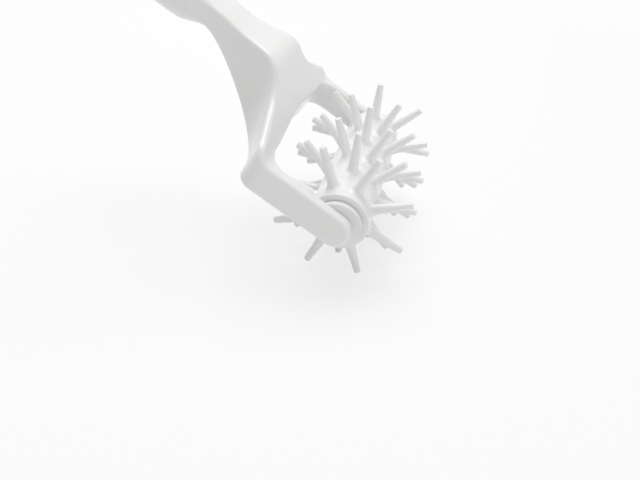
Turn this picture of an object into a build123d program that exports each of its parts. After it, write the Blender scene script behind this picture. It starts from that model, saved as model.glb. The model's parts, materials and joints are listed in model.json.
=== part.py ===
from build123d import *
import os
from math import radians, tan

# Dough docker: a moulded handle with a two-armed fork, and between the arms
# a drum of spiked discs that turns on an axle. Millimetres, +Z up.
# The axle lies along Y, the handle rises towards -X, and the spikes stand on Z = 0.

# Spiked drum
tip_radius = 30.0            # from the axle's centre line to the spikes' blunt ends
hub_radius = 12.8
hub_edge_chamfer = 0.4
ring_pitch = 13.9            # from one ring of spikes to the next, and each hub's width
disc_count = 6
spikes_per_disc = 8
spike_base_radius = 2.2
spike_tip_radius = 1.45
spike_tip_chamfer = 0.4
spike_root_fillet = 1.6

# Axle: a square core that keys the discs, and a round journal at each end
core_width = 8.0
core_edge_chamfer = 0.6
core_fit = 0.1               # each side, between the core and a disc's square bore
journal_radius = 3.0
journal_fit = 0.05           # radial, so that the drum turns freely
journal_length = 5.3         # past the drum's end
journal_edge_chamfer = 0.6
socket_end_gap = 0.2
drum_end_gap = 0.3           # between the drum and each boss

# Fork: two straps and the bar across them, here in the handle's own level position
boss_radius = 10.2
boss_length = 2.5
strap_thickness = 6.0
strap_height = 13.4
bay_depth = 36.6             # from the axle's centre line to the bar's front
bar_thickness = 6.0
outer_corner_radius = 6.0
inner_corner_radius = 9.5
edge_round = 1.8             # on every outer edge of the fork and neck

# Web: it fans out from the neck to the bar, and steps down from the handle's top
web_angle = 47.0             # how steeply its front face climbs from the bar
web_foot_radius = 6.0
top_height = 27.9            # of the shoulder above the axle's centre line
saddle_depth = 1.4           # how far the curve behind the shoulder aims below the neck's top
neck_reach = 88.5            # from the axle's centre line to the neck's thinnest place
neck_half_width = 10.1
neck_top = 26.7
neck_bottom = 17.4

# Grip
grip_length = 83.5           # from the neck's thinnest place to the handle's end
grip_width = 25.6
grip_depth = 17.0
heel_round = 6.0
hang_hole_radius = 3.0
hang_hole_setback = 11.5     # from the handle's end to the hole's centre
hang_hole_rim_round = 0.8

# How the tool stands while it rolls, in degrees
handle_rise = 30.0
drum_turn = 14.35

# One overrun serves all cuts
overrun = 4.0

# The flank's curve between bar and neck: how far its two handles reach, the
# first across the bar as a share of the narrowing, the second back from the
# neck as a share of the web's length
flank_bar_share = 0.55
flank_neck_share = 0.79

# The web's top and underside, as shares of its length: the shoulder's radius,
# where the curve behind it aims, how far both curves run level with the handle
# at the neck, and how far the underside's runs level at the bar
shoulder_share = 0.22
saddle_share = 0.75
neck_lead_share = 0.20
under_bar_share = 0.18

# The grip's sections, evenly spaced from the neck: how far the middle lies
# below the neck's middle and how deep the section is, in grip depths, its
# share of the grip's width, and the radius of its corners, in grip depths
grip_shares = (
    (0.101, 0.885, 0.87, 0.28),
    (0.100, 0.955, 0.93, 0.35),
    (0.096, 0.985, 0.98, 0.39),
    (0.095, 1.000, 1.00, 0.41),
    (0.095, 1.000, 1.00, 0.41),
    (0.095, 0.980, 0.98, 0.40),
    (0.092, 0.930, 0.94, 0.37),
    (0.088, 0.850, 0.88, 0.34),
)

# Sizes that follow from the ones above
drum_half_length = disc_count * ring_pitch / 2
boss_face = drum_half_length + drum_end_gap
strap_inner = boss_face + boss_length
strap_outer = strap_inner + strap_thickness
strap_half_height = strap_height / 2
bar_back = bay_depth + bar_thickness
web_length = neck_reach - bar_back
shoulder_radius = shoulder_share * web_length
neck_lead = neck_lead_share * web_length
neck_middle = (neck_top + neck_bottom) / 2
handle_end = neck_reach + grip_length
stagger = 360 / spikes_per_disc / 2


def spike():
    """One spike, standing along +Z from the drum's centre line, with a flared root."""
    root = hub_radius - spike_root_fillet / 2
    taper_start = hub_radius + spike_root_fillet
    taper_end = tip_radius - spike_tip_chamfer
    skirt_radius = spike_base_radius + spike_root_fillet
    blunt_radius = spike_tip_radius - spike_tip_chamfer
    outline = Curve() + [
        Line((0, root), (skirt_radius, root)),
        RadiusArc((skirt_radius, root), (spike_base_radius, taper_start), -2 * spike_root_fillet),
        Line((spike_base_radius, taper_start), (spike_tip_radius, taper_end)),
        Line((spike_tip_radius, taper_end), (blunt_radius, tip_radius)),
        Line((blunt_radius, tip_radius), (0, tip_radius)),
        Line((0, tip_radius), (0, root)),
    ]
    return revolve(Plane.XZ * make_face(outline), Axis.Z)


def spiked_disc():
    """A hub with its ring of spikes. The bore is turned half a stagger from the spikes,
    so that a disc turned over sets its spikes between those of the next."""
    disc = Plane.XZ * Cylinder(hub_radius, ring_pitch)
    disc = chamfer(disc.edges().filter_by(GeomType.CIRCLE), hub_edge_chamfer)
    one = spike()
    for index in range(spikes_per_disc):
        disc += Rot(0, stagger / 2 + 2 * stagger * index, 0) * one
    bore_width = core_width + 2 * core_fit
    return disc - Box(bore_width, ring_pitch + overrun, bore_width)


def axle():
    """The square core with its two journals."""
    core = Box(core_width, 2 * drum_half_length, core_width)
    core = chamfer(core.edges().filter_by(Axis.Y), core_edge_chamfer)
    journals = Plane.XZ * Cylinder(journal_radius, 2 * (drum_half_length + journal_length))
    return core + chamfer(journals.edges().filter_by(GeomType.CIRCLE), journal_edge_chamfer)


def fork_plan():
    """The outline of straps, bar and web, seen from above, as one face."""
    front = strap_half_height + overrun
    corner_end = strap_outer - outer_corner_radius
    side = [
        FilletPolyline(
            (-bay_depth, 0), (-bay_depth, strap_inner), (front, strap_inner), radius=inner_corner_radius
        ),
        Line((front, strap_inner), (front, strap_outer)),
        Line((front, strap_outer), (outer_corner_radius - bar_back, strap_outer)),
        TangentArc((outer_corner_radius - bar_back, strap_outer), (-bar_back, corner_end), tangent=(-1, 0)),
        Bezier(
            (-bar_back, corner_end),
            (-bar_back, corner_end - flank_bar_share * (corner_end - neck_half_width)),
            (-neck_reach + flank_neck_share * web_length, neck_half_width),
            (-neck_reach, neck_half_width),
        ),
        Polyline((-neck_reach, neck_half_width), (-neck_reach, 0), (-bay_depth, 0)),
    ]
    half = make_face(Curve() + side)
    return half + mirror(half, Plane.XZ)


def fork_side():
    """The outline of straps, web and neck, seen along the axle, as one face."""
    crest = -bay_depth - (top_height - strap_half_height) / tan(radians(web_angle))
    saddle = (-bar_back - saddle_share * web_length, neck_top - saddle_depth)
    back = ((crest + saddle[0]) / 2, (top_height + saddle[1]) / 2)
    outline = [
        FilletPolyline(
            (0, strap_half_height),
            (-bay_depth, strap_half_height),
            (crest, top_height),
            back,
            radius=[web_foot_radius, shoulder_radius],
        ),
        Bezier(back, saddle, (-neck_reach + neck_lead, neck_top), (-neck_reach, neck_top)),
        Line((-neck_reach, neck_top), (-neck_reach, neck_bottom)),
        Bezier(
            (-neck_reach, neck_bottom),
            (-neck_reach + neck_lead, neck_bottom),
            (-bar_back - under_bar_share * web_length, -strap_half_height),
            (-bar_back, -strap_half_height),
        ),
        Line((-bar_back, -strap_half_height), (0, -strap_half_height)),
        ThreePointArc((0, -strap_half_height), (strap_half_height, 0), (0, strap_half_height)),
    ]
    return make_face(Curve() + outline)


def fork():
    """Straps, bar and web, from the axle to the neck, with their edges rounded."""
    high = top_height + strap_height
    wide = strap_outer + overrun
    plan = extrude(Pos(0, 0, -high) * fork_plan(), 2 * high)
    side = Pos(0, wide, 0) * extrude(Plane.XZ * fork_side(), 2 * wide)
    body = plan & side
    across = body.edges().filter_by(Axis.Y)
    seams = across + body.edges().filter_by(Axis.Z) + body.faces().sort_by(Axis.X)[0].edges()
    rims = [edge for edge in body.edges() if edge not in seams]
    near = edge_round / 2
    rims += across.filter_by_position(Axis.X, -bay_depth - near, -bay_depth + near)
    return fillet(rims, edge_round)


def grip_section(along, middle, width, depth, corner):
    """One upright slice of the grip, as a rounded rectangle facing the handle's end."""
    plane = Plane((-neck_reach - along, 0, middle), x_dir=(0, 1, 0), z_dir=(-1, 0, 0))
    return plane * RectangleRounded(width, depth, corner)


def grip():
    """The bar to hold, from the neck to its rounded heel, with the hole to hang it by."""
    sections = [grip_section(0, neck_middle, 2 * neck_half_width, neck_top - neck_bottom, edge_round)]
    step = grip_length / len(grip_shares)
    for index, (drop_share, depth_share, width_share, corner_share) in enumerate(grip_shares):
        sections.append(grip_section(
            (index + 1) * step,
            neck_middle - drop_share * grip_depth,
            width_share * grip_width,
            depth_share * grip_depth,
            corner_share * grip_depth,
        ))
    bar = loft(sections)
    bar = fillet(bar.faces().sort_by(Axis.X)[0].edges(), heel_round)
    hole_place = hang_hole_setback - handle_end
    bar -= Pos(hole_place, 0, neck_middle) * Cylinder(hang_hole_radius, 2 * grip_depth)
    reach = hang_hole_radius + hang_hole_rim_round
    rims = bar.edges().filter_by_position(Axis.X, hole_place - reach, hole_place + reach)
    rims = rims.filter_by_position(Axis.Y, -reach, reach).filter_by(GeomType.LINE, reverse=True)
    return fillet(rims, hang_hole_rim_round)


def handle_fork():
    """Handle and fork in one piece, with a boss and a blind socket inside each strap."""
    body = fork() + grip()
    socket_depth = journal_length + socket_end_gap - drum_end_gap
    for way in (-1, 1):
        boss = Plane.XZ * Cylinder(boss_radius, boss_length)
        body += Pos(0, way * (boss_face + boss_length / 2), 0) * boss
        socket = Plane.XZ * Cylinder(journal_radius + journal_fit, socket_depth)
        body -= Pos(0, way * (boss_face + socket_depth / 2), 0) * socket
    return body


def assembly():
    """Every piece in its place, by name: the drum on its axle, and the fork raised over it."""
    disc = spiked_disc()
    pieces = {"handle_fork": Rot(0, handle_rise, 0) * handle_fork(), "axle": Rot(0, drum_turn, 0) * axle()}
    for index in range(disc_count):
        middle = (index + 1 / 2) * ring_pitch - drum_half_length
        turned_over = Rot(0, 0, 180 * (index % 2))
        pieces[f"spike_disc_{index + 1}"] = Pos(0, middle, 0) * Rot(0, drum_turn, 0) * turned_over * disc
    boxes = [piece.bounding_box() for piece in pieces.values()]
    centre = (min(box.min.X for box in boxes) + max(box.max.X for box in boxes)) / 2
    stand = Pos(-centre, 0, -min(box.min.Z for box in boxes))
    return {name: stand * piece for name, piece in pieces.items()}


os.makedirs("parts", exist_ok=True)
for node, solid in assembly().items():
    export_step(solid, f"parts/{node}.step")
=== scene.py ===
import json
import logging
import math
from collections.abc import Callable, Iterator
from contextlib import contextmanager
from dataclasses import dataclass
from enum import Enum

import bpy
from mathutils import Matrix, Vector
from mathutils.kdtree import KDTree


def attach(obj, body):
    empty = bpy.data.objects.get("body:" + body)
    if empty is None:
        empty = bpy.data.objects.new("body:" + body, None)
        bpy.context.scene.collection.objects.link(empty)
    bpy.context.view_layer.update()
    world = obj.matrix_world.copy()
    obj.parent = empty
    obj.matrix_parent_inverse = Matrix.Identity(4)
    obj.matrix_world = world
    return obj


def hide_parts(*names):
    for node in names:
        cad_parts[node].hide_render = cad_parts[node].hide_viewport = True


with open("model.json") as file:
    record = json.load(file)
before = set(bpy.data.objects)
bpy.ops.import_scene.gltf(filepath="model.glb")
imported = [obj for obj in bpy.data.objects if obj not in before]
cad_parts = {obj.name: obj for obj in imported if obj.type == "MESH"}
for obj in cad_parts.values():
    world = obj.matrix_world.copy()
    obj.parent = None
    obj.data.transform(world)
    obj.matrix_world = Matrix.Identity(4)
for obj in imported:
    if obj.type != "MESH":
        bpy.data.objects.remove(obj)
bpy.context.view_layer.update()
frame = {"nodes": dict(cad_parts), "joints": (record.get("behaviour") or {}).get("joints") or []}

# Dough docker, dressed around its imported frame. Each piece is modelled in
# millimetres round the axle's centre, and then set into the frame in metres.
MM = 0.001

# In millimetres: places this near are one while a piece is modelled, a place this
# near lies on the face or line asked for, and a finished mesh is merged this far
SAME = 0.001
TOUCH = 0.01
WELD = 0.02

# How far a solid that cuts runs past what it cuts, in millimetres
OVERRUN = 2.0

# In degrees: an edge that turns more is sharp, and one that turns less is shaded smoothly
SHARP = 60.0
SMOOTH = 38.0

# How many strips stand for the round on a boss's or a hub's rim
RIM_STEPS = 4

log = logging.getLogger("dough_docker")

Node = bpy.types.Node
Piece = bpy.types.Object
Point = tuple[float, float, float]


class Picks(Enum):
    """What a selection picks out of a mesh, as the edit mode's own switches."""

    VERTICES = (True, False, False)
    EDGES = (False, True, False)
    FACES = (False, False, True)


class Cut(Enum):
    """How one solid acts on another."""

    JOIN = "UNION"
    TAKE_AWAY = "DIFFERENCE"


# The bench: selecting, drawing and cutting


def only(*pieces: Piece) -> None:
    """Selects these pieces and no others, with the first one active.

    Args:
        pieces: The pieces to select.
    """
    bpy.ops.object.select_all(action="DESELECT")
    for piece in pieces:
        piece.select_set(True)
    bpy.context.view_layer.objects.active = pieces[0]


@contextmanager
def editing(piece: Piece) -> Iterator[None]:
    """Opens a piece in edit mode and closes it again.

    Args:
        piece: The piece to open, which alone is selected.

    Returns:
        The context, in which the piece is open.
    """
    only(piece)
    bpy.ops.object.mode_set(mode="EDIT")
    yield
    bpy.ops.object.mode_set(mode="OBJECT")


def pick(piece: Piece, picks: Picks, test: Callable[[Vector], bool]) -> None:
    """Selects the vertices, edges or faces that lie where a test says, and no others.

    Args:
        piece: The piece whose mesh is searched, outside edit mode.
        picks: The kind of element to select.
        test: Says whether a place passes; an edge passes with both its ends,
            and a face with its centre.
    """
    mesh = piece.data
    bpy.context.tool_settings.mesh_select_mode = picks.value
    for elements in (mesh.vertices, mesh.edges, mesh.polygons):
        elements.foreach_set("select", [False] * len(elements))
    places = [vertex.co for vertex in mesh.vertices]
    if picks is Picks.VERTICES:
        chosen = [vertex for vertex in mesh.vertices if test(vertex.co)]
    elif picks is Picks.EDGES:
        chosen = [edge for edge in mesh.edges if all(test(places[end]) for end in edge.vertices)]
    else:
        chosen = [face for face in mesh.polygons if test(face.center)]
    for element in chosen:
        element.select = True


def face_normals(piece: Piece) -> dict[tuple[int, int], list[Vector]]:
    """The normals of the faces at each edge.

    Args:
        piece: The piece whose mesh is searched, outside edit mode.

    Returns:
        The normals by the edge's two vertices.
    """
    normals: dict[tuple[int, int], list[Vector]] = {}
    for face in piece.data.polygons:
        for key in face.edge_keys:
            normals.setdefault(key, []).append(face.normal)
    return normals


def open_edges(piece: Piece) -> int:
    """How many edges of a piece have only one face."""
    return sum(len(normals) == 1 for normals in face_normals(piece).values())


def pick_sharp(piece: Piece, test: Callable[[Vector], bool]) -> None:
    """Selects the edges at which two faces meet sharply, and no others.

    Args:
        piece: The piece whose mesh is searched, outside edit mode.
        test: Says whether an edge's middle lies where it should.
    """
    mesh = piece.data
    pick(piece, Picks.EDGES, lambda place: False)
    sides = face_normals(piece)
    for edge in mesh.edges:
        normals = sides.get(edge.key, [])
        middle = (mesh.vertices[edge.vertices[0]].co + mesh.vertices[edge.vertices[1]].co) / 2
        sharp = len(normals) == 2 and normals[0].angle(normals[1], 0) > math.radians(SHARP)
        if sharp and test(middle):
            edge.select = True


def draw(name: str, outline: list[Vector]) -> Piece:
    """Draws a closed outline on the ground corner by corner, and fills it.

    Args:
        name: The new piece's name.
        outline: The corners in order, seen from above.

    Returns:
        The flat piece, one face at height zero.
    """
    bpy.ops.mesh.primitive_plane_add(size=1.0)
    piece = bpy.context.object
    piece.name = name
    corners = [corner.to_3d() for corner in outline]
    with editing(piece):
        bpy.ops.mesh.select_all(action="SELECT")
        bpy.ops.mesh.merge(type="CENTER")
        bpy.ops.transform.translate(value=corners[0])
        for start, end in zip(corners, corners[1:] + corners[:1]):
            bpy.ops.mesh.extrude_vertices_move(TRANSFORM_OT_translate={"value": end - start})
        bpy.ops.mesh.select_all(action="SELECT")
        bpy.ops.mesh.remove_doubles(threshold=SAME)
        bpy.ops.mesh.edge_face_add()
    return piece


@contextmanager
def slicing(name: str) -> Iterator[Piece]:
    """Opens a new piece in edit mode, empty and ready for slices, and closes it again.

    Args:
        name: The new piece's name.

    Returns:
        The context, which gives the piece.
    """
    bpy.ops.mesh.primitive_plane_add(size=1.0)
    piece = bpy.context.object
    piece.name = name
    bpy.context.tool_settings.mesh_select_mode = Picks.VERTICES.value
    with editing(piece):
        bpy.ops.mesh.select_all(action="SELECT")
        bpy.ops.mesh.delete(type="VERT")
        yield piece


def add_slice(place: Point, width: float, depth: float, corner: float, steps: int) -> None:
    """Adds a rounded slice to the mesh in edit mode, as a ring that faces along X.

    Args:
        place: The slice's middle.
        width: Its size along Y.
        depth: Its size along Z.
        corner: The radius of its corners.
        steps: How many straight steps each corner has.
    """
    bpy.ops.mesh.select_all(action="DESELECT")
    bpy.ops.mesh.primitive_plane_add(size=1.0)
    bpy.ops.transform.resize(value=(depth, width, 1.0))
    bpy.ops.transform.rotate(value=math.pi / 2, orient_axis="Y", center_override=(0, 0, 0))
    bpy.ops.transform.translate(value=place)
    bpy.ops.mesh.bevel(offset=corner, offset_type="OFFSET", segments=steps, affect="VERTICES")
    bpy.ops.mesh.delete(type="ONLY_FACE")


def apply_place() -> None:
    """Leaves the place, turn and scale of what is selected in its mesh."""
    bpy.ops.object.transform_apply(location=True, rotation=True, scale=True)


def cylinder(radius: float, start: float, end: float, sides: int) -> Piece:
    """A round solid along the axle.

    Args:
        radius: Its radius.
        start: Where it starts along Y.
        end: Where it ends along Y.
        sides: How many flat sides it has.

    Returns:
        The closed solid.
    """
    bpy.ops.mesh.primitive_cylinder_add(
        vertices=sides,
        radius=radius,
        depth=abs(end - start),
        location=(0, (start + end) / 2, 0),
        rotation=(math.pi / 2, 0, 0),
    )
    apply_place()
    return bpy.context.object


def combine(piece: Piece, other: Piece, cut: Cut) -> None:
    """Joins another solid to a piece, or takes it away from it; the other is then gone.

    Args:
        piece: The piece that stays.
        other: The solid that is used up.
        cut: How it acts on the piece.
    """
    only(piece)
    bpy.ops.object.modifier_add(type="BOOLEAN")
    modifier = piece.modifiers[-1]
    modifier.operation = cut.value
    modifier.solver = "EXACT"
    modifier.object = other
    bpy.ops.object.modifier_apply(modifier=modifier.name)
    bpy.data.objects.remove(other)


def join(pieces: list[Piece]) -> Piece:
    """Puts several meshes into the first one's.

    Args:
        pieces: The pieces, all but the first of which are then gone.

    Returns:
        The first piece.
    """
    only(*pieces)
    bpy.ops.object.join()
    return pieces[0]


def copy_of(piece: Piece, name: str) -> Piece:
    """A copy of a piece, with a mesh of its own.

    Args:
        piece: The piece to copy.
        name: The copy's name, and its mesh's.

    Returns:
        The copy, in the same place.
    """
    copy = piece.copy()
    copy.data = piece.data.copy()
    copy.name = name
    copy.data.name = name
    bpy.context.scene.collection.objects.link(copy)
    return copy


def settle(piece: Piece, place: Matrix) -> None:
    """Puts a piece in its place, and leaves the place in its mesh.

    Args:
        piece: The piece to move.
        place: The move, turn and scale it gets.
    """
    piece.matrix_world = place @ piece.matrix_world
    only(piece)
    apply_place()


def smooth(piece: Piece) -> None:
    """Shades a piece smoothly across its flatter edges, with its large faces left flat.

    Args:
        piece: The piece to shade.
    """
    only(piece)
    bpy.ops.object.shade_smooth_by_angle(angle=math.radians(SMOOTH))
    bpy.ops.object.modifier_add(type="WEIGHTED_NORMAL")
    modifier = piece.modifiers[-1]
    modifier.mode = "FACE_AREA"
    modifier.keep_sharp = True
    bpy.ops.object.modifier_apply(modifier=modifier.name)


def bezier(points: list[Vector], steps: int) -> list[Vector]:
    """Places along a curve between its first and last point.

    Args:
        points: The curve's start, its two handles and its end.
        steps: How many equal steps it is walked in.

    Returns:
        The places, with the start and the end.
    """
    walked = []
    for step in range(steps + 1):
        t = step / steps
        weights = ((1 - t) ** 3, 3 * t * (1 - t) ** 2, 3 * t * t * (1 - t), t**3)
        walked.append(sum((w * point for w, point in zip(weights, points)), Vector((0, 0))))
    return walked


def arc(before: Vector, corner: Vector, after: Vector, radius: float, steps: int) -> list[Vector]:
    """Places along the round that stands for a corner between two straight lines.

    Args:
        before: A place on the line that leads to the corner.
        corner: The sharp corner.
        after: A place on the line that leaves it.
        radius: The round's radius.
        steps: How many equal steps it is walked in.

    Returns:
        The places, with both ends of the round.
    """
    start = (before - corner).normalized()
    end = (after - corner).normalized()
    half = start.angle(end) / 2
    centre = corner + (start + end).normalized() * (radius / math.sin(half))
    first = corner + start * (radius / math.tan(half)) - centre
    last = corner + end * (radius / math.tan(half)) - centre
    sweep = math.pi - 2 * half
    round_off = []
    for step in range(steps + 1):
        t = step / steps
        spoke = first * math.sin(sweep * (1 - t)) + last * math.sin(sweep * t)
        round_off.append(centre + spoke / math.sin(sweep))
    return round_off


def height_and_slope(line: list[Vector], x: float) -> tuple[float, float]:
    """How high a line runs at one place along the handle, and how steeply.

    Args:
        line: The line's places, which run towards -X.
        x: The place along the handle.

    Returns:
        The line's height there and its slope.
    """
    for start, end in zip(line, line[1:]):
        if x >= end.x and start.x > end.x:
            break
    slope = (end.y - start.y) / (end.x - start.x)
    return start.y + slope * (x - start.x), slope


# Finishes


def linear(colour: str) -> tuple[float, float, float, float]:
    """An sRGB hex colour such as "f2f0ea" as the linear values that a shader takes."""
    channels = [int(colour[at : at + 2], 16) / 255 for at in (0, 2, 4)]
    return (*(c / 12.92 if c <= 0.04045 else ((c + 0.055) / 1.055) ** 2.4 for c in channels), 1.0)


def add_node(
    tree: bpy.types.NodeTree, kind: str, settings: dict | None = None, links: dict | None = None
) -> Node:
    """Adds a shader node with its settings and links.

    Args:
        tree: The material's node tree.
        kind: The node's type, without the leading ShaderNode.
        settings: Values by property, or by an input socket's name or number.
        links: Output sockets by the name or number of the input that each one feeds.

    Returns:
        The new node.
    """
    node = tree.nodes.new("ShaderNode" + kind)
    for name, value in (settings or {}).items():
        if isinstance(name, int) or name in node.inputs:
            node.inputs[name].default_value = value
        else:
            setattr(node, name, value)
    for name, source in (links or {}).items():
        tree.links.new(source, node.inputs[name])
    return node


@dataclass(frozen=True)
class MouldedPlastic:
    """Pale injection moulded plastic: a soft gloss, with light that goes in a little way.

    The mould's polish gives broad, faint changes of gloss, and its polished
    skin a crisp streak along rounded edges. Cooling leaves a very shallow
    waviness, and handling leaves fine scuffs. Sizes are in millimetres.
    """

    name: str
    body: str
    tint: str
    roughness: tuple[float, float]
    glow: float
    glow_reach: float = 1.5
    glow_colours: Point = (1.0, 0.9, 0.8)
    skin: float = 0.4
    skin_roughness: float = 0.12
    ior: float = 1.49
    cloud_size: float = 38.0
    cloud_detail: float = 3.0
    cloud_span: tuple[float, float] = (0.2, 0.8)
    wave_size: float = 9.0
    wave_detail: float = 2.0
    wave_height: float = 0.02
    # Real scuffs are about a tenth of this wide, too fine to show, so they are drawn coarser
    scuff_size: float = 0.9
    scuff_detail: float = 4.0
    scuff_height: float = 0.004

    def build(self) -> bpy.types.Material:
        """Makes the material.

        Returns:
            The material, with its patterns on object coordinates in metres.
        """
        material = bpy.data.materials.new(self.name)
        material.use_nodes = True
        tree = material.node_tree
        tree.nodes.clear()
        place = add_node(tree, "TexCoord").outputs["Object"]
        patterns = (
            (self.cloud_size, self.cloud_detail),
            (self.wave_size, self.wave_detail),
            (self.scuff_size, self.scuff_detail),
        )
        clouds, waves, scuffs = (
            add_node(tree, "TexNoise", {"Scale": 1 / (size * MM), "Detail": detail}, {"Vector": place})
            for size, detail in patterns
        )
        colour = add_node(
            tree,
            "Mix",
            {"data_type": "RGBA", 6: linear(self.body), 7: linear(self.tint)},
            {"Factor": clouds.outputs["Fac"]},
        )
        gloss = add_node(
            tree,
            "MapRange",
            {
                "interpolation_type": "SMOOTHSTEP",
                "From Min": self.cloud_span[0],
                "From Max": self.cloud_span[1],
                "To Min": self.roughness[0],
                "To Max": self.roughness[1],
            },
            {"Value": clouds.outputs["Fac"]},
        )
        shallow = add_node(
            tree,
            "Bump",
            {"Strength": 1.0, "Distance": self.wave_height * MM},
            {"Height": waves.outputs["Fac"]},
        )
        fine = add_node(
            tree,
            "Bump",
            {"Strength": 1.0, "Distance": self.scuff_height * MM},
            {"Height": scuffs.outputs["Fac"], "Normal": shallow.outputs["Normal"]},
        )
        shader = add_node(
            tree,
            "BsdfPrincipled",
            {
                "IOR": self.ior,
                "Subsurface Weight": self.glow,
                "Subsurface Radius": self.glow_colours,
                "Subsurface Scale": self.glow_reach * MM,
                "Coat Weight": self.skin,
                "Coat Roughness": self.skin_roughness,
            },
            {
                "Base Color": colour.outputs[2],
                "Roughness": gloss.outputs["Result"],
                "Normal": fine.outputs["Normal"],
            },
        )
        add_node(tree, "OutputMaterial", links={"Surface": shader.outputs["BSDF"]})
        return material


def dress(piece: Piece, material: bpy.types.Material) -> None:
    """Gives a piece one material all over."""
    piece.data.materials.clear()
    piece.data.materials.append(material)


# Handle and fork


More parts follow.
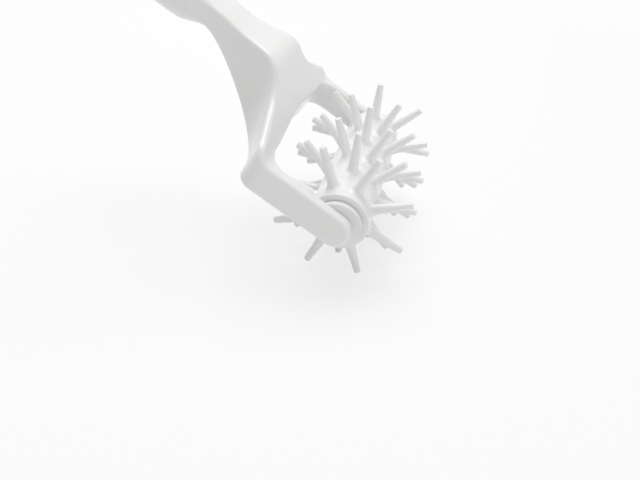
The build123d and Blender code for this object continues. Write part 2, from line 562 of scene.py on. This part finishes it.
@dataclass
class HandleFork:
    """The moulded handle with its web, its two straps and the bosses that carry the axle.

    Sizes are in millimetres, round the axle's centre, with the handle along
    -X and level; rise then lifts it, in degrees. Steps count the straight
    pieces that stand for a curve.
    """

    axle: Vector
    rise: float = 30.0

    strap_half_height: float = 6.7
    strap_inner: float = 44.5
    strap_outer: float = 50.5
    strap_root: float = 20.0
    strap_end_steps: int = 28
    bay_depth: float = 36.6
    bay_bow: float = 2.1
    bow_steps: int = 16
    bar_back: float = 42.6
    outer_corner: float = 6.0
    inner_corner: float = 9.5
    corner_steps: int = 16
    corner_fill: float = 2.8
    fill_end: float = 14.0
    side_steps: int = 3
    edge_round: float = 1.8
    edge_steps: int = 8
    edge_halvings: int = 24

    web_angle: float = 47.0
    web_foot: float = 6.0
    foot_steps: int = 30
    shoulder: float = 10.1
    shoulder_steps: int = 40
    top_height: float = 27.9
    saddle_share: float = 0.75
    saddle_depth: float = 1.4
    saddle_steps: int = 60
    neck_reach: float = 88.5
    neck_half_width: float = 10.1
    neck_top: float = 26.7
    neck_bottom: float = 17.4
    neck_lead_share: float = 0.20
    flank_shares: tuple[float, float] = (0.55, 0.79)
    flank_steps: int = 56
    under_bar_share: float = 0.18
    under_steps: int = 80
    strip_width: float = 0.8
    strip_snap: float = 0.1

    boss_radius: float = 10.2
    boss_face: float = 42.0
    boss_sink: float = 0.3
    boss_rim: float = 0.4
    boss_sides: int = 96
    socket_radius: float = 3.05
    socket_end: float = 47.2

    grip_length: float = 83.5
    grip_width: float = 25.6
    grip_depth: float = 17.0
    grip_steps: int = 34
    heel: float = 6.0
    heel_steps: int = 9
    heel_least_corner: float = 0.3
    hole_radius: float = 3.0
    hole_place: float = 160.5
    hole_rim: float = 0.8
    hole_rim_steps: int = 5
    hole_flare: float = 1.6
    hole_sides: int = 48
    # Evenly spaced from the neck: how far the middle lies below the neck's and how
    # deep the slice is, in grip depths, its share of the grip's width, and the
    # radius of its corners, in grip depths
    grip_sections: tuple[tuple[float, float, float, float], ...] = (
        (0.101, 0.885, 0.87, 0.28),
        (0.100, 0.955, 0.93, 0.35),
        (0.096, 0.985, 0.98, 0.39),
        (0.095, 1.000, 1.00, 0.41),
        (0.095, 1.000, 1.00, 0.41),
        (0.095, 0.980, 0.98, 0.40),
        (0.092, 0.930, 0.94, 0.37),
        (0.088, 0.850, 0.88, 0.34),
    )

    @property
    def web_length(self) -> float:
        """From the bar's back to the neck's thinnest place."""
        return self.neck_reach - self.bar_back

    @property
    def foot_start(self) -> float:
        """Where the top starts to climb from the straps to the web, along X."""
        return self.web_foot * math.tan(math.radians(self.web_angle / 2)) - self.bay_depth

    def top(self) -> list[Vector]:
        """The fork's top seen along the axle.

        Returns:
            Its places, from over the axle back to the neck.
        """
        start = Vector((0, self.strap_half_height))
        foot = Vector((-self.bay_depth, self.strap_half_height))
        climb = self.top_height - self.strap_half_height
        crest = foot + Vector((-climb / math.tan(math.radians(self.web_angle)), climb))
        aim = -self.bar_back - self.saddle_share * self.web_length
        saddle = Vector((aim, self.neck_top - self.saddle_depth))
        back = (crest + saddle) / 2
        neck = Vector((-self.neck_reach, self.neck_top))
        lead = neck + Vector((self.neck_lead_share * self.web_length, 0))
        return [
            start,
            *arc(start, foot, crest, self.web_foot, self.foot_steps),
            *arc(foot, crest, back, self.shoulder, self.shoulder_steps),
            *bezier([back, saddle, lead, neck], self.saddle_steps),
        ]

    def underside(self) -> list[Vector]:
        """The fork's underside seen along the axle.

        Returns:
            Its places, from under the axle back to the neck.
        """
        bar = Vector((-self.bar_back, -self.strap_half_height))
        level = bar - Vector((self.under_bar_share * self.web_length, 0))
        neck = Vector((-self.neck_reach, self.neck_bottom))
        lead = neck + Vector((self.neck_lead_share * self.web_length, 0))
        start = Vector((0, -self.strap_half_height))
        return [start, *bezier([bar, level, lead, neck], self.under_steps)]

    def outline(self, fill: float) -> list[tuple[Vector, Vector]]:
        """The web and the bar seen from above, between the straps' roots and the neck.

        Args:
            fill: How far the flank's hollow beside each outer corner is filled.

        Returns:
            The places in order all the way round, each with its wall's outward direction.
        """
        quarter = [math.radians(90 * step / self.corner_steps) for step in range(self.corner_steps + 1)]
        inner = Vector((-self.bay_depth + self.inner_corner, self.strap_inner - self.inner_corner))
        half = []
        for step in range(self.bow_steps):
            across = (step + 0.5) / self.bow_steps
            bow = self.bay_bow * (1 + math.cos(math.pi * across)) / 2
            swing = self.bay_bow * math.pi * math.sin(math.pi * across) / (2 * inner.y)
            place = Vector((-self.bay_depth - bow, across * inner.y))
            half.append((place, Vector((1, -swing)).normalized()))
        for turn in quarter:
            out = Vector((math.cos(turn), -math.sin(turn)))
            half.append((inner - self.inner_corner * out, out))
        half.append((Vector((-self.strap_root, self.strap_inner)), Vector((0, -1))))
        half.append((Vector((-self.strap_root, self.strap_outer)), Vector((0, 1))))
        outer = Vector((-self.bar_back + self.outer_corner, self.strap_outer - self.outer_corner))
        for step in range(self.side_steps):
            x = self.foot_start + (outer.x - self.foot_start) * step / self.side_steps
            half.append((Vector((x, self.strap_outer)), Vector((0, 1))))
        corner_end = self.strap_outer - self.outer_corner
        bar_share, neck_share = self.flank_shares
        flank = bezier(
            [
                Vector((-self.bar_back, corner_end)),
                Vector((-self.bar_back, corner_end - bar_share * (corner_end - self.neck_half_width))),
                Vector((-self.neck_reach + neck_share * self.web_length, self.neck_half_width)),
                Vector((-self.neck_reach, self.neck_half_width)),
            ],
            self.flank_steps,
        )
        spokes = [Vector((-math.sin(turn), math.cos(turn))) for turn in quarter]
        corner = [outer + self.outer_corner * spoke for spoke in spokes]
        back = corner + flank[1:]
        for place in back:
            share = max((place.y - self.fill_end) / (self.strap_outer - self.fill_end), 0.0)
            place.x -= fill * math.sin(math.pi * share) ** 2
        for before, place, after in zip([half[-1][0], *back], back, back[1:]):
            along = after - before
            half.append((place, Vector((along.y, -along.x)).normalized()))
        half.append((back[-1], Vector((0, 1))))
        mirror = Vector((1, -1))
        return half + [(place * mirror, out * mirror) for place, out in reversed(half)]

    def rim(self, line: list[Vector], way: int, place: Vector, out: Vector) -> list[Point]:
        """The rounded edge at one place of the outline, upright and square to the wall.

        Args:
            line: The top or the underside, seen along the axle.
            way: 1 for the top and -1 for the underside.
            place: The outline's place, seen from above.
            out: The wall's outward direction there.

        Returns:
            Places from the top or underside out to the wall.
        """
        radius = self.edge_round
        low, high = 0.0, 2 * radius
        for _ in range(self.edge_halvings):
            inward = (low + high) / 2
            height, slope = height_and_slope(line, place.x - inward * out.x)
            stretch = math.hypot(1, slope * out.y)
            lean = math.atan(-way * slope * out.x / stretch)
            if inward < radius * (1 - math.sin(lean)):
                low = inward
            else:
                high = inward
        middle = way * height / stretch - radius * math.cos(lean)
        places = []
        for step in range(self.edge_steps + 1):
            turn = math.pi / 2 + lean + (math.pi / 2 - lean) * step / self.edge_steps
            inward = radius * (1 + math.cos(turn))
            rise = way * stretch * (middle + radius * math.sin(turn))
            places.append((place.x - inward * out.x, place.y - inward * out.y, rise))
        return places

    def cut_across(self, web: Piece, level: int) -> int:
        """Cuts the flat face at one level into strips across the handle, so that it can follow a curve.

        Args:
            web: The web while its levels are still flat.
            level: The level's height.

        Returns:
            How many cuts were made.
        """
        places = [vertex.co.x for vertex in web.data.vertices if abs(vertex.co.z - level) < TOUCH]
        count = 0
        # A little more than one strip before the foot, so that the first cut can fall at its start
        last = self.foot_start + 1.01 * self.strip_width
        for x in sorted(places, reverse=True):
            if last - x < self.strip_width or x < self.strip_width / 2 - self.neck_reach:
                continue
            last = x
            count += 1
            pick(web, Picks.FACES, lambda place: abs(place.z - level) < TOUCH)
            with editing(web):
                bpy.ops.mesh.bisect(plane_co=(x, 0, level), plane_no=(1, 0, 0), threshold=self.strip_snap)
        return count

    def web(self) -> Piece:
        """The web and the bar with their edges rounded.

        The outline is raised in levels, each level is moved to its place round
        the rounded edges, and the top and underside are bent to their curves.

        Returns:
            The web, open at the straps' roots and at the neck.
        """
        outline = self.outline(0.0)
        under, over = self.underside(), self.top()
        rims = [
            [*self.rim(under, -1, *low), *reversed(self.rim(over, 1, *high))]
            for low, high in zip(outline, self.outline(self.corner_fill))
        ]
        web = draw("web", [place for place, _ in outline])
        last = 2 * self.edge_steps + 1
        with editing(web):
            bpy.ops.mesh.select_all(action="SELECT")
            for _ in range(last):
                bpy.ops.mesh.extrude_region_move(TRANSFORM_OT_translate={"value": (0, 0, 1)})
        finder = KDTree(len(outline))
        for index, (place, _) in enumerate(outline):
            finder.insert(place.to_3d(), index)
        finder.balance()
        curves = {0: under, last: over}
        for vertex in web.data.vertices:
            level = round(vertex.co.z)
            if level in curves:
                x, y, _ = rims[finder.find((vertex.co.x, vertex.co.y, 0))[1]][level]
                vertex.co = (x, y, level)
        cuts = [self.cut_across(web, level) for level in curves]
        for vertex in web.data.vertices:
            level = round(vertex.co.z)
            if level in curves:
                vertex.co.z = height_and_slope(curves[level], vertex.co.x)[0]
            else:
                vertex.co = rims[finder.find((vertex.co.x, vertex.co.y, 0))[1]][level]
        pick(
            web,
            Picks.FACES,
            lambda place: place.x > -self.strap_root - TOUCH or place.x < TOUCH - self.neck_reach,
        )
        with editing(web):
            bpy.ops.mesh.delete(type="FACE")
        log.info("web: underside and top cut into %s strips", cuts)
        return web

    def strap(self, way: int) -> Piece:
        """One strap, from its root at the web to its round end.

        Args:
            way: -1 for the near strap and 1 for the far one.

        Returns:
            The strap, open at its root.
        """
        middle = way * (self.strap_inner + self.strap_outer) / 2
        thickness = self.strap_outer - self.strap_inner
        height = 2 * self.strap_half_height
        side_height = self.strap_half_height - self.edge_round
        with slicing("strap") as strap:
            add_slice((0, middle, 0), thickness, height, self.edge_round, self.edge_steps)
        pick(strap, Picks.EDGES, lambda place: abs(place.z) < side_height + TOUCH)
        with editing(strap):
            bpy.ops.mesh.subdivide()
        pick(strap, Picks.VERTICES, lambda place: place.z < -TOUCH)
        with editing(strap):
            bpy.ops.mesh.delete(type="VERT")
            bpy.ops.mesh.select_all(action="SELECT")
            bpy.ops.mesh.spin(steps=self.strap_end_steps, angle=-math.pi, center=(0, 0, 0), axis=(0, 1, 0))
            bpy.ops.mesh.select_all(action="SELECT")
            bpy.ops.mesh.remove_doubles(threshold=SAME)
        pick(strap, Picks.EDGES, lambda place: abs(place.x) < TOUCH)
        with editing(strap):
            bpy.ops.mesh.extrude_region_move(TRANSFORM_OT_translate={"value": (-self.strap_root, 0, 0)})
        pick(strap, Picks.VERTICES, lambda place: place.x < -TOUCH and abs(place.z) < TOUCH)
        with editing(strap):
            bpy.ops.mesh.dissolve_verts()
        return strap

    def section_at(self, share: float) -> tuple[float, float, float, float]:
        """The grip's slice at a share of its length.

        Args:
            share: 0 at the neck and 1 at the handle's end.

        Returns:
            The middle's height, the width, the depth and the corners' radius.
        """
        neck_middle = (self.neck_top + self.neck_bottom) / 2
        neck_depth = self.neck_top - self.neck_bottom
        slices = [(neck_middle, 2 * self.neck_half_width, neck_depth, self.edge_round)]
        for drop, depth, width, corner in self.grip_sections:
            slices.append((
                neck_middle - drop * self.grip_depth,
                width * self.grip_width,
                depth * self.grip_depth,
                corner * self.grip_depth,
            ))
        last = len(slices) - 1
        at = min(int(share * last), last - 1)
        t = share * last - at
        before, start, end, after = (slices[min(max(at + step, 0), last)] for step in (-1, 0, 1, 2))
        return tuple(
            b + t * (c - a + t * (2 * a - 5 * b + 4 * c - d + t * (3 * (b - c) + d - a))) / 2
            for a, b, c, d in zip(before, start, end, after)
        )

    def add_section(self, along: float, inset: float) -> None:
        """Adds one of the grip's slices to the mesh in edit mode.

        Args:
            along: How far the slice lies from the neck.
            inset: How far its edge is drawn in.
        """
        middle, width, depth, corner = self.section_at(along / self.grip_length)
        add_slice(
            (-self.neck_reach - along, 0, middle),
            width - 2 * inset,
            depth - 2 * inset,
            max(corner - inset, self.heel_least_corner),
            self.edge_steps,
        )

    def grip(self) -> Piece:
        """The bar to hold: slices bridged from the neck to the rounded heel.

        Returns:
            The grip, open at its first slice.
        """
        straight = self.grip_length - self.heel
        with slicing("grip") as grip:
            for step in range(self.grip_steps + 1):
                self.add_section(straight * step / self.grip_steps, 0.0)
            for step in range(1, self.heel_steps + 1):
                turn = math.radians(90 * step / self.heel_steps)
                self.add_section(straight + self.heel * math.sin(turn), self.heel * (1 - math.cos(turn)))
        with editing(grip):
            bpy.ops.mesh.select_all(action="SELECT")
            bpy.ops.mesh.bridge_edge_loops()
        pick(grip, Picks.EDGES, lambda place: place.x < TOUCH - self.neck_reach - self.grip_length)
        with editing(grip):
            bpy.ops.mesh.edge_face_add()
        return grip

    def hole_cutter(self) -> Piece:
        """The hang hole as a solid, flared where it leaves the grip above and below.

        Returns:
            The closed solid, which runs past the grip on both sides.
        """
        share = (self.hole_place - self.neck_reach) / self.grip_length
        middle, _, depth, _ = self.section_at(share)
        bpy.ops.mesh.primitive_cylinder_add(
            vertices=self.hole_sides,
            radius=self.hole_radius,
            depth=depth - 2 * self.hole_rim,
            location=(-self.hole_place, 0, middle),
        )
        cutter = bpy.context.object
        apply_place()
        for way in (-1, 1):
            face_height = middle + way * (depth / 2 - self.hole_rim)
            pick(cutter, Picks.FACES, lambda place: abs(place.z - face_height) < TOUCH)
            centre = (-self.hole_place, 0, face_height)
            with editing(cutter):
                radius, height = self.hole_radius, 0.0
                for step in range(1, self.hole_rim_steps + 1):
                    turn = math.radians(90 * step / self.hole_rim_steps)
                    wider = self.hole_radius + self.hole_rim * (1 - math.cos(turn))
                    higher = self.hole_rim * math.sin(turn)
                    bpy.ops.mesh.extrude_region_move(
                        TRANSFORM_OT_translate={"value": (0, 0, way * (higher - height))}
                    )
                    grow = wider / radius
                    bpy.ops.transform.resize(value=(grow, grow, 1.0), center_override=centre)
                    radius, height = wider, higher
                bpy.ops.mesh.extrude_region_move(TRANSFORM_OT_translate={"value": (0, 0, way * OVERRUN)})
                grow = self.hole_flare
                bpy.ops.transform.resize(value=(grow, grow, 1.0), center_override=centre)
        return cutter

    def build(self, material: bpy.types.Material) -> Piece:
        """Models the whole moulding and puts it in the frame.

        Args:
            material: The finish.

        Returns:
            The piece that stands for the frame's handle_fork.
        """
        body = join([self.web(), self.strap(-1), self.strap(1), self.grip()])
        body.name = "handle_with_fork"
        body.data.name = "handle_with_fork"
        with editing(body):
            bpy.ops.mesh.select_all(action="SELECT")
            bpy.ops.mesh.remove_doubles(threshold=WELD)
            bpy.ops.mesh.normals_make_consistent(inside=False)
        log.info("handle: %d open edges left", open_edges(body))
        combine(body, self.hole_cutter(), Cut.TAKE_AWAY)
        for way in (-1, 1):
            root = way * (self.strap_inner + self.boss_sink)
            boss = cylinder(self.boss_radius, way * self.boss_face, root, self.boss_sides)
            pick_sharp(boss, lambda place: abs(place.y) < self.boss_face + TOUCH)
            with editing(boss):
                bpy.ops.mesh.bevel(offset=self.boss_rim, segments=RIM_STEPS, affect="EDGES")
            combine(body, boss, Cut.JOIN)
            mouth = way * (self.boss_face - OVERRUN)
            socket = cylinder(self.socket_radius, mouth, way * self.socket_end, self.boss_sides)
            combine(body, socket, Cut.TAKE_AWAY)
        lift = Matrix.Rotation(math.radians(self.rise), 4, "Y")
        settle(body, Matrix.Translation(self.axle) @ lift @ Matrix.Scale(MM, 4))
        smooth(body)
        dress(body, material)
        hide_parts("handle_fork")
        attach(body, "handle")
        return body


# Spiked drum


@dataclass
class SpikedDrum:
    """Six spiked discs side by side on the axle, each turned over against the next.

    Sizes are in millimetres, round the axle's centre; turn is the whole
    drum's, in degrees.
    """

    axle: Vector
    turn: float = 14.35
    disc_count: int = 6
    pitch: float = 13.9
    hub_radius: float = 12.8
    hub_rim: float = 0.4
    hub_sides: int = 128
    bore: float = 8.2
    spikes: int = 8
    # The first spike's turn from straight up, as a share of the turn between two
    first_spike: float = 0.25
    spike_top: float = 30.0
    spike_base: float = 2.2
    spike_tip: float = 1.45
    spike_sink: float = 0.04
    spike_sides: int = 32
    taper_steps: int = 4
    tip_round: float = 0.4
    tip_steps: int = 4
    root_round: float = 1.6
    root_height: float = 1.9
    root_steps: int = 7

    def spike(self) -> Piece:
        """One spike along +Z, with a root that flares onto the hub.

        Returns:
            The spike, closed, sunk a little into the hub.
        """
        skirt = self.spike_base + self.root_round
        base = self.hub_radius - self.spike_sink
        bpy.ops.mesh.primitive_circle_add(
            vertices=self.spike_sides, radius=skirt, fill_type="NGON", location=(0, 0, base)
        )
        spike = bpy.context.object
        apply_place()
        profile = []
        for step in range(self.root_steps + 1):
            turn = math.radians(90 * step / self.root_steps)
            profile.append((
                self.spike_base + self.root_round * (1 - math.sin(turn)),
                self.hub_radius + self.root_height * (1 - math.cos(turn)),
            ))
        taper_end = self.spike_top - self.tip_round
        taper_start = self.hub_radius + self.root_height
        for step in range(1, self.taper_steps + 1):
            share = step / self.taper_steps
            profile.append((
                self.spike_base + share * (self.spike_tip - self.spike_base),
                taper_start + share * (taper_end - taper_start),
            ))
        for step in range(1, self.tip_steps + 1):
            turn = math.radians(90 * step / self.tip_steps)
            profile.append((
                self.spike_tip - self.tip_round * (1 - math.cos(turn)),
                taper_end + self.tip_round * math.sin(turn),
            ))
        bpy.context.tool_settings.mesh_select_mode = Picks.FACES.value
        radius, height = skirt, base
        with editing(spike):
            bpy.ops.mesh.select_all(action="SELECT")
            for wider, higher in profile:
                bpy.ops.mesh.extrude_region_move(TRANSFORM_OT_translate={"value": (0, 0, higher - height)})
                grow = wider / radius
                bpy.ops.transform.resize(value=(grow, grow, 1.0), center_override=(0, 0, higher))
                radius, height = wider, higher
        with editing(spike):
            bpy.ops.mesh.select_all(action="SELECT")
            bpy.ops.mesh.normals_make_consistent(inside=False)
        for vertex in spike.data.vertices:
            rise = max(vertex.co.z - self.hub_radius, 0.0)
            hold = max(1 - rise / self.root_height, 0.0)
            vertex.co.z += hold * (math.sqrt(self.hub_radius**2 - vertex.co.x**2) - self.hub_radius)
        return spike

    def disc(self) -> Piece:
        """One hub with its ring of spikes and its square bore.

        Returns:
            The disc, round the axle's centre.
        """
        disc = cylinder(self.hub_radius, -self.pitch / 2, self.pitch / 2, self.hub_sides)
        pick_sharp(disc, lambda place: True)
        with editing(disc):
            bpy.ops.mesh.bevel(offset=self.hub_rim, segments=RIM_STEPS, affect="EDGES")
        first = self.spike()
        step = 2 * math.pi / self.spikes
        ring = []
        for index in range(self.spikes):
            spike = copy_of(first, f"spike_{index}")
            settle(spike, Matrix.Rotation(step * (index + self.first_spike), 4, "Y"))
            ring.append(spike)
        bpy.data.objects.remove(first)
        combine(disc, join(ring), Cut.JOIN)
        bpy.ops.mesh.primitive_cube_add(size=1.0, scale=(self.bore, 2 * self.pitch, self.bore))
        bore = bpy.context.object
        apply_place()
        combine(disc, bore, Cut.TAKE_AWAY)
        with editing(disc):
            bpy.ops.mesh.select_all(action="SELECT")
            bpy.ops.mesh.remove_doubles(threshold=WELD)
        return disc

    def build(self, material: bpy.types.Material) -> list[Piece]:
        """Models one disc, and sets six copies of it on the axle.

        Args:
            material: The finish.

        Returns:
            The pieces that stand for the frame's six discs.
        """
        master = self.disc()
        smooth(master)
        discs = []
        for index in range(self.disc_count):
            disc = copy_of(master, f"spiked_disc_{index + 1}")
            along = (index + 0.5 - self.disc_count / 2) * self.pitch
            over = Matrix.Rotation(math.pi * (index % 2), 4, "Z")
            spun = Matrix.Rotation(math.radians(self.turn), 4, "Y")
            shift = Matrix.Translation(self.axle + Vector((0, along * MM, 0)))
            settle(disc, shift @ spun @ over @ Matrix.Scale(MM, 4))
            dress(disc, material)
            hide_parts(f"spike_disc_{index + 1}")
            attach(disc, "roller")
            discs.append(disc)
        bpy.data.objects.remove(master)
        return discs


# Studio


@dataclass(frozen=True)
class SoftLight:
    """A square softbox, in metres and watts, aimed at a place."""

    name: str
    place: Point
    size: float
    power: float
    aim: Point = (0, 0, 0.05)
    colour: str = "ffffff"

    def build(self) -> None:
        """Hangs the light."""
        data = bpy.data.lights.new(self.name, "AREA")
        data.shape = "SQUARE"
        data.size = self.size
        data.energy = self.power
        data.color = linear(self.colour)[:3]
        light = bpy.data.objects.new(self.name, data)
        light.location = self.place
        light.rotation_euler = (Vector(self.aim) - Vector(self.place)).to_track_quat("-Z", "Y").to_euler()
        bpy.context.scene.collection.objects.link(light)


@dataclass(frozen=True)
class Studio:
    """A plain pale floor, soft light from above, and the camera at the picture's view.

    The camera's place is in millimetres from the axle's centre, its three
    directions have length 1, and its lens and sensor are in millimetres too.
    The rest is in metres.
    """

    axle: Vector
    camera_from_axle: Point = (31.104, -238.619, 135.217)
    camera_right: Point = (0.968779, 0.237501, 0.071143)
    camera_down: Point = (0.196146, -0.558704, -0.805839)
    camera_forward: Point = (-0.15164, 0.794634, -0.587846)
    lens: float = 33.75
    sensor: float = 36.0
    clip: tuple[float, float] = (0.01, 50.0)
    floor_size: float = 12.0
    floor_colour: str = "fafafa"
    floor_white: float = 0.68
    shadow_reach: tuple[float, float] = (0.25, 0.8)
    world_light: float = 0.445
    lights: tuple[SoftLight, ...] = (
        SoftLight("key_light", place=(-0.15, 0.3, 1.0), size=0.8, power=6.8),
        SoftLight("fill_light", place=(0.95, -0.6, 0.3), size=0.4, power=1.6),
    )

    def camera(self) -> None:
        """Sets up the camera at the picture's viewing angle."""
        data = bpy.data.cameras.new("camera")
        data.lens = self.lens
        data.sensor_width = self.sensor
        data.clip_start, data.clip_end = self.clip
        camera = bpy.data.objects.new("camera", data)
        axes = [Vector(self.camera_right), -Vector(self.camera_down), -Vector(self.camera_forward)]
        turned = Matrix([list(row) for row in zip(*axes)]).to_4x4()
        camera.matrix_world = Matrix.Translation(self.axle + MM * Vector(self.camera_from_axle)) @ turned
        bpy.context.scene.collection.objects.link(camera)
        bpy.context.scene.camera = camera

    def seen_directly(self, tree: bpy.types.NodeTree) -> bpy.types.NodeSocket:
        """Tells the rays that see a surface from those that carry its light.

        Args:
            tree: The node tree that asks.

        Returns:
            1 for rays from the camera, from a glossy surface or through a clear one, and else 0.
        """
        path = add_node(tree, "LightPath")
        seen = path.outputs["Is Camera Ray"]
        for ray in ("Is Glossy Ray", "Is Transmission Ray"):
            either = add_node(tree, "Math", {"operation": "MAXIMUM"}, {0: seen, 1: path.outputs[ray]})
            seen = either.outputs[0]
        return seen

    def floor(self) -> None:
        """Lays a plain floor that keeps the object's shadow, and is pure white further away."""
        bpy.ops.mesh.primitive_plane_add(size=self.floor_size, location=(0, 0, 0))
        floor = bpy.context.object
        floor.name = "floor"
        material = bpy.data.materials.new("pale_paper_floor")
        material.use_nodes = True
        tree = material.node_tree
        tree.nodes.clear()
        paper = add_node(tree, "BsdfDiffuse", {"Color": linear(self.floor_colour)})
        white = add_node(tree, "Emission", {"Color": (1, 1, 1, 1), "Strength": 1.0})
        place = add_node(tree, "TexCoord").outputs["Object"]
        away = add_node(tree, "VectorMath", {"operation": "LENGTH"}, {0: place})
        whiter = add_node(
            tree,
            "MapRange",
            {
                "interpolation_type": "SMOOTHSTEP",
                "From Min": self.shadow_reach[0],
                "From Max": self.shadow_reach[1],
                "To Min": self.floor_white,
                "To Max": 1.0,
            },
            {"Value": away.outputs["Value"]},
        )
        share = add_node(
            tree,
            "Math",
            {"operation": "MULTIPLY"},
            {0: self.seen_directly(tree), 1: whiter.outputs["Result"]},
        )
        mixed = add_node(
            tree,
            "MixShader",
            links={0: share.outputs[0], 1: paper.outputs["BSDF"], 2: white.outputs["Emission"]},
        )
        add_node(tree, "OutputMaterial", links={"Surface": mixed.outputs["Shader"]})
        dress(floor, material)

    def world(self) -> None:
        """Makes the surroundings white to look at, and a soft even light."""
        world = bpy.data.worlds.new("white_room")
        world.use_nodes = True
        tree = world.node_tree
        tree.nodes.clear()
        even = add_node(tree, "Background", {"Color": (1, 1, 1, 1), "Strength": self.world_light})
        white = add_node(tree, "Background", {"Color": (1, 1, 1, 1), "Strength": 1.0})
        seen = self.seen_directly(tree)
        mixed = add_node(
            tree, "MixShader", links={0: seen, 1: even.outputs["Background"], 2: white.outputs["Background"]}
        )
        add_node(tree, "OutputWorld", links={"Surface": mixed.outputs["Shader"]})
        bpy.context.scene.world = world

    def build(self) -> None:
        """Sets up camera, floor, surroundings and lights."""
        self.camera()
        self.floor()
        self.world()
        for light in self.lights:
            light.build()
        bpy.context.scene.view_settings.view_transform = "Standard"


def main() -> None:
    """Builds the docker and its studio, and reports each piece."""
    logging.basicConfig(level=logging.INFO, format="%(name)s: %(message)s")
    axle = Vector(frame["joints"][0]["pos_m"])
    Studio(axle).build()
    # Thick sections in a well polished mould: clean white, with a soft broad sheen
    handle_plastic = MouldedPlastic(
        "moulded_polypropylene_handle", body="f3f3f2", tint="eeeeed", roughness=(0.29, 0.37), glow=0.12
    ).build()
    # Thin spikes that light goes through: whiter, with pale shadows between them
    disc_plastic = MouldedPlastic(
        "moulded_polypropylene_disc", body="f4f4f4", tint="efefef", roughness=(0.30, 0.38), glow=0.3
    ).build()
    # A harder plastic, rubbed by its sockets: creamier and duller
    axle_plastic = MouldedPlastic(
        "moulded_acetal_axle", body="ecebe6", tint="e4e2dc", roughness=(0.42, 0.52), glow=0.1
    ).build()
    pieces = [HandleFork(axle).build(handle_plastic), *SpikedDrum(axle).build(disc_plastic)]
    core = frame["nodes"]["axle"]
    for slot in core.material_slots:
        slot.material = axle_plastic
    for piece in [*pieces, core]:
        mesh = piece.data
        mesh.calc_loop_triangles()
        log.info("%s: %d triangles", piece.name, len(mesh.loop_triangles))


if __name__ == "__main__":
    main()
